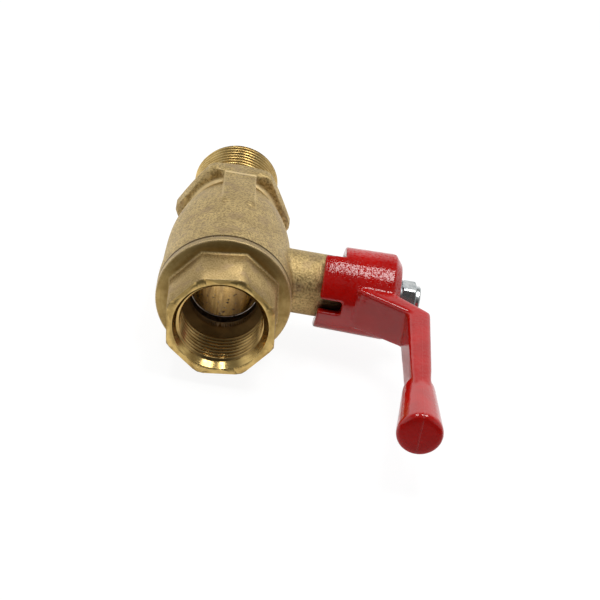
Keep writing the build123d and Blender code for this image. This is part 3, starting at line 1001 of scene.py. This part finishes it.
@dataclass
class InletCap:
    """End cap: milled octagon, faced flange and mouth, cut female thread; millimetres."""

    thread: PipeThread = field(default_factory=PipeThread)
    tap_from: float = -1.2
    tap_to: float = 20.4
    mouth_r: float = 17.6
    mouth_y: float = 0.02
    mouth_depth: float = 2.8
    bore_r: float = 17.2
    cone_r: float = 18.2
    flange_r: float = 20.0
    flange_y: float = 15.0
    faced: float = -0.9

    def pick(self, centre: Vector, normal: Vector) -> int:
        """Tells the area that a face belongs to.

        Args:
            centre: the face's centre in millimetres.
            normal: the face's normal.

        Returns:
            The area, which is also the index of its finish.
        """
        radius = math.hypot(centre.x, centre.z)
        faced = normal.y < self.faced
        if faced and centre.y < self.mouth_y:
            return CapArea.MOUTH
        if faced and radius > self.flange_r and centre.y > self.flange_y:
            return CapArea.FLANGE
        if radius < self.bore_r and centre.y > self.mouth_depth:
            return CapArea.BORE
        return CapArea.CONE if radius < self.cone_r else CapArea.MILLED

    def build(self) -> None:
        """Cuts the thread into a copy of the cap and dresses it."""
        cap = Workshop.copy_of("end_cap", "inlet_cap")
        Workshop.cut(cap, self.thread.tap(self.tap_from, self.tap_to, self.mouth_r))
        Workshop.smooth(cap)
        Workshop.dress(cap, [MILLED, TURNED, BORE, MOUTH, SHADED_FLANGE_FACE], self.pick)
        Workshop.stand_for(cap, "end_cap", Body.FIXED, Slot.TURNED)


@dataclass
class ForgedBody:
    """Body forging with its machined outlet and cut male thread; millimetres."""

    thread: PipeThread = field(default_factory=PipeThread)
    die_from: float = 94.6
    die_to: float = 117.6
    die_r: float = 18.4
    front_y: float = 23.35
    collar_rear: float = 92.3
    inside_r: float = 22.5
    inward: float = -0.2
    stem_y: float = 43.56
    stem_bore_r: float = 9.6
    stem_bore_from: float = 20.0
    boss_top: float = 44.4

    def pick(self, centre: Vector, normal: Vector) -> int:
        """Tells whether a face was cut or is still as forged.

        Args:
            centre: the face's centre in millimetres.
            normal: the face's normal.

        Returns:
            The area, which is also the index of its finish.
        """
        radius = math.hypot(centre.x, centre.z)
        lean = normal.x * centre.x + normal.z * centre.z
        inside = lean < self.inward * radius and radius < self.inside_r
        stem_r = math.hypot(centre.y - self.stem_y, centre.z)
        stem_bore = centre.x > self.stem_bore_from and stem_r < self.stem_bore_r
        ends = centre.y > self.collar_rear or centre.y < self.front_y or centre.x > self.boss_top
        return ShellArea.CUT if ends or inside or stem_bore else ShellArea.FORGED

    def build(self) -> None:
        """Cuts the thread on a copy of the body and dresses it."""
        body = Workshop.copy_of("body", "valve_shell")
        Workshop.cut(body, self.thread.die(self.die_from, self.die_to, self.die_r))
        Workshop.smooth(body)
        Workshop.dress(body, [FORGED, THREADED], self.pick)
        Workshop.stand_for(body, "body", Body.FIXED, Slot.FORGED)


@dataclass
class LeverCasting:
    """Red lever: the CAD form with the soft edges of a painted casting."""

    voxel_mm: float = 0.42
    rounds: int = 18
    pull: float = 0.5
    sharp: float = 60.0

    def soften(self, lever: bpy.types.Object) -> None:
        """Rounds every edge as thick paint does.

        Args:
            lever: working copy of the lever.
        """
        remesh = lever.modifiers.new("skin", "REMESH")
        remesh.mode = "VOXEL"
        remesh.voxel_size = self.voxel_mm * MM
        relax = lever.modifiers.new("paint", "SMOOTH")
        relax.factor = self.pull
        relax.iterations = self.rounds
        Workshop.settle(lever)

    def build(self) -> None:
        """Softens a copy of the lever and paints it."""
        lever = Workshop.copy_of("lever", "red_lever")
        self.soften(lever)
        Workshop.smooth(lever, self.sharp)
        Workshop.dress(lever, [PAINT], lambda centre, normal: 0)
        Workshop.stand_for(lever, "lever", Body.TURNING, Slot.PAINT)


@dataclass
class BallAndSeats:
    """Ball and its two seat rings, kept from the CAD with their finishes."""

    seats: tuple[str, str] = ("seat_inlet", "seat_outlet")

    def build(self) -> None:
        """Dresses the ball and both seats."""
        Workshop.finish_node("ball", CHROME)
        for seat in self.seats:
            Workshop.finish_node(seat, SEAT)


@dataclass
class StemAndSeals:
    """Stem, gland and lock nut, kept from the CAD with their finishes."""

    finishes: dict[str, Finish] = field(
        default_factory=lambda: {
            "stem": TURNED,
            "gland_nut": TURNED,
            "thrust_washer": SEAT,
            "packing_ring": SEAT,
            "stem_ring_lower": RUBBER,
            "stem_ring_upper": RUBBER,
            "lock_nut": ZINC,
            "lock_ring": NYLON,
            "spring_washer": WASHER_STEEL,
        }
    )

    def build(self) -> None:
        """Dresses each piece."""
        for node, finish in self.finishes.items():
            Workshop.finish_node(node, finish)


@dataclass(frozen=True)
class Lamp:
    """A flat soft lamp that hangs overhead; metres and watts."""

    x: float
    y: float
    width: float
    length: float
    watts: float


@dataclass
class Studio:
    """Pale floor, grey-toned room, two soft lamps overhead and the camera; metres and degrees."""

    floor_z: float = -0.02525
    floor_size: float = 6.0
    floor_cells: int = 8
    paper: Mottle = Mottle(40.0)
    paper_tones: tuple[Tone, Tone] = (grey(0.80), grey(0.76))
    shadow_tone: Tone = grey(0.14)
    white_level: float = 0.91
    # Seen in glossy faces the floor darkens towards the camera and glows faintly: painted shade and glow.
    floor_shade_y: Span = (-0.125, 0.015)
    floor_shade_tones: tuple[Tone, Tone] = (grey(0.04), grey(0.88))
    floor_glow_in_mirror: float = 0.22
    behind_y: Span = (-0.25, 0.65)
    left_x: Span = (-0.2, -0.8)
    right_x: Span = (0.25, 0.8)
    overhead_z: Span = (0.45, 0.78)
    front_tone: Tone = grey(0.05)
    left_tone: Tone = grey(0.75)
    right_tone: Tone = grey(0.60)
    overhead_tone: Tone = grey(0.20)
    soft_y: Span = (-0.5, 0.5)
    soft_tones: tuple[Tone, Tone] = (grey(0.12), grey(0.82))
    left_lamp: Lamp = Lamp(-0.20, 0.02, 0.12, 0.42, 1.35)
    right_lamp: Lamp = Lamp(0.19, 0.02, 0.26, 0.42, 2.8)
    lamp_height: float = 0.75
    azimuth: float = -4.124
    elevation: float = 29.243
    roll: float = 11.647
    distance: float = 0.900
    offset: tuple[float, float] = (0.028821, 0.009879)
    lens_mm: float = 149.275
    sensor_mm: float = 36.0

    def paper_floor(self) -> bpy.types.Material:
        """Makes the floor's material.

        Returns:
            Pale paper, seen as white with a faint shadow; as a glossy face mirrors it, it glows faintly
            and darkens to the front, a painted shade and glow; clear from below.
        """
        material = bpy.data.materials.new("pale_floor")
        material.use_nodes = True
        graph = Graph(material.node_tree)
        place = graph.place()
        plain = graph.diffuse(graph.blend(self.paper.noise(graph, place), *self.paper_tones))
        # Painted shade and glow on the floor as glossy faces mirror it: dark at the front, pale behind.
        floor_shade_in_mirror = graph.blend(graph.ease(graph.split(place)[1], *self.floor_shade_y), *self.floor_shade_tones)
        mirrored = graph.both(graph.glow(floor_shade_in_mirror, self.floor_glow_in_mirror), graph.diffuse(floor_shade_in_mirror))
        white = graph.both(graph.diffuse(self.shadow_tone), graph.glow(WHITE, self.white_level))
        top = graph.either(graph.seen(), graph.either(graph.mirrored(), plain, mirrored), white)
        clear = graph.add("BsdfTransparent").outputs["BSDF"]
        under = graph.add("NewGeometry").outputs["Backfacing"]
        graph.put(graph.add("OutputMaterial").inputs["Surface"], graph.either(under, top, clear))
        return material

    def floor(self) -> None:
        """Lays the floor under the valve."""
        bpy.ops.mesh.primitive_grid_add(
            x_subdivisions=self.floor_cells,
            y_subdivisions=self.floor_cells,
            size=self.floor_size,
            location=(0.0, 0.0, self.floor_z),
        )
        floor = bpy.context.active_object
        floor.name = "studio_floor"
        floor.data.materials.append(self.paper_floor())

    def room(self) -> None:
        """Sets the world: white to the camera, while glossy faces mirror a bright back and a dim front."""
        world = bpy.data.worlds.new("studio_room")
        bpy.context.scene.world = world
        world.use_nodes = True
        graph = Graph(world.node_tree)
        x, y, z = graph.split(graph.add("TexCoord").outputs["Generated"])
        mirror = graph.blend(graph.ease(x, *self.left_x), self.front_tone, self.left_tone)
        mirror = graph.blend(graph.ease(x, *self.right_x), mirror, self.right_tone)
        mirror = graph.blend(graph.ease(y, *self.behind_y), mirror, WHITE)
        mirror = graph.blend(graph.ease(z, *self.overhead_z), mirror, self.overhead_tone)
        soft = graph.blend(graph.ease(y, *self.soft_y), *self.soft_tones)
        ambient = graph.blend(graph.mirrored(), soft, mirror)
        back = graph.add("Background", {"Color": graph.blend(graph.seen(), ambient, WHITE)})
        graph.put(graph.add("OutputWorld").inputs["Surface"], back.outputs["Background"])

    def hang(self, name: str, lamp: Lamp) -> None:
        """Hangs one flat lamp overhead.

        Args:
            name: the lamp's name.
            lamp: its place, size and power.
        """
        light = bpy.data.lights.new(name, "AREA")
        light.shape = "RECTANGLE"
        light.size, light.size_y = lamp.width, lamp.length
        light.energy = lamp.watts
        hung = bpy.data.objects.new(name, light)
        hung.location = (lamp.x, lamp.y, self.lamp_height)
        bpy.context.scene.collection.objects.link(hung)

    def lamps(self) -> None:
        """Hangs both lamps."""
        self.hang("left_lamp", self.left_lamp)
        self.hang("right_lamp", self.right_lamp)

    def camera(self) -> None:
        """Sets the camera at the photograph's place."""
        turn = math.radians(self.azimuth)
        tilt = math.radians(self.elevation)
        roll = math.radians(self.roll)
        right = Vector((math.cos(turn), math.sin(turn), 0.0))
        level = math.cos(tilt)
        back = Vector((math.sin(turn) * level, -math.cos(turn) * level, math.sin(tilt)))
        up = back.cross(right)
        side = right * math.cos(roll) + up * math.sin(roll)
        top = -right * math.sin(roll) + up * math.cos(roll)
        lens = bpy.data.cameras.new("photo_camera")
        lens.lens = self.lens_mm
        lens.sensor_width = self.sensor_mm
        camera = bpy.data.objects.new("photo_camera", lens)
        place = side * self.offset[0] + top * self.offset[1] + back * self.distance
        camera.matrix_world = Matrix.Translation(place) @ Matrix((side, top, back)).transposed().to_4x4()
        bpy.context.scene.collection.objects.link(camera)
        bpy.context.scene.camera = camera

    def build(self) -> None:
        """Sets up floor, world, lamps and camera."""
        self.floor()
        self.room()
        self.lamps()
        self.camera()
        bpy.context.scene.view_settings.view_transform = "Standard"


def main() -> None:
    """Builds and dresses every sub-assembly, then the studio."""
    logging.basicConfig(level=logging.INFO, format="%(name)s %(message)s")
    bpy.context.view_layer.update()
    assemblies = (InletCap(), ForgedBody(), BallAndSeats(), StemAndSeals(), LeverCasting(), Studio())
    for assembly in assemblies:
        assembly.build()
        LOG.info("%s done", type(assembly).__name__)
    bpy.context.view_layer.update()


if __name__ == "__main__":
    main()
